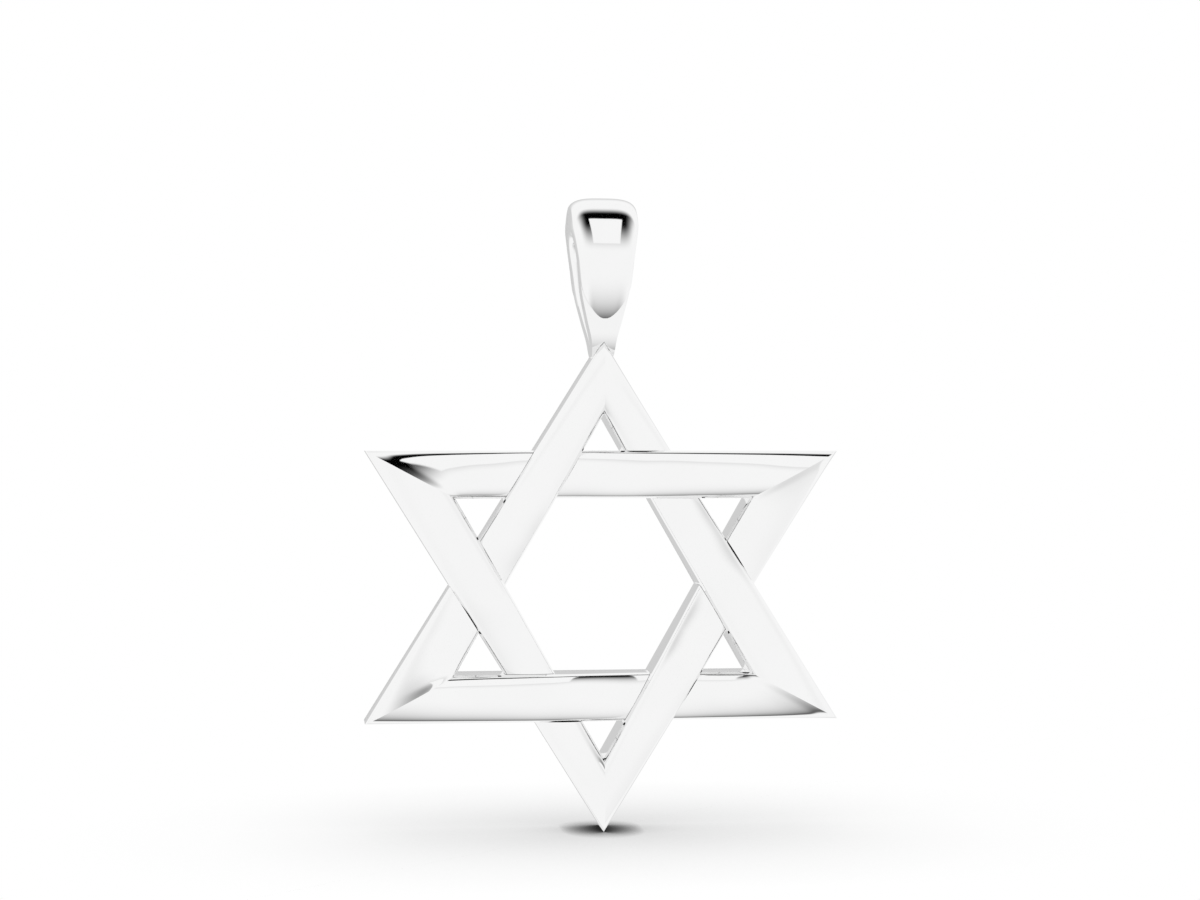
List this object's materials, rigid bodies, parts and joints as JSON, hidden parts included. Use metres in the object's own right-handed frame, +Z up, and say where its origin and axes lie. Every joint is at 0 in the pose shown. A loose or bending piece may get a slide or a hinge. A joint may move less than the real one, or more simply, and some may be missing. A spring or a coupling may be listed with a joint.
{
  "type": "star of david pendant",
  "caption": "Polished silver pendant: two interlaced domed triangles form a six-pointed star under a tapered bail with an eye for a chain.",
  "frame": {"origin": "the chain's seat: the top of the bail's eye, in the middle of its width and depth", "axes": "+Z up, along the hanging pendant; the domed front faces -Y; +X to the right as seen from the front, along the chain's way through the eye"},
  "size_m": [0.02, 0.0046, 0.0267],
  "materials": {
    "polished_silver": "mirror polish"
  },
  "bodies": {
    "root": {"up_triangle": "polished_silver", "down_triangle": "polished_silver", "bail": "polished_silver"}
  },
  "joints": []
}
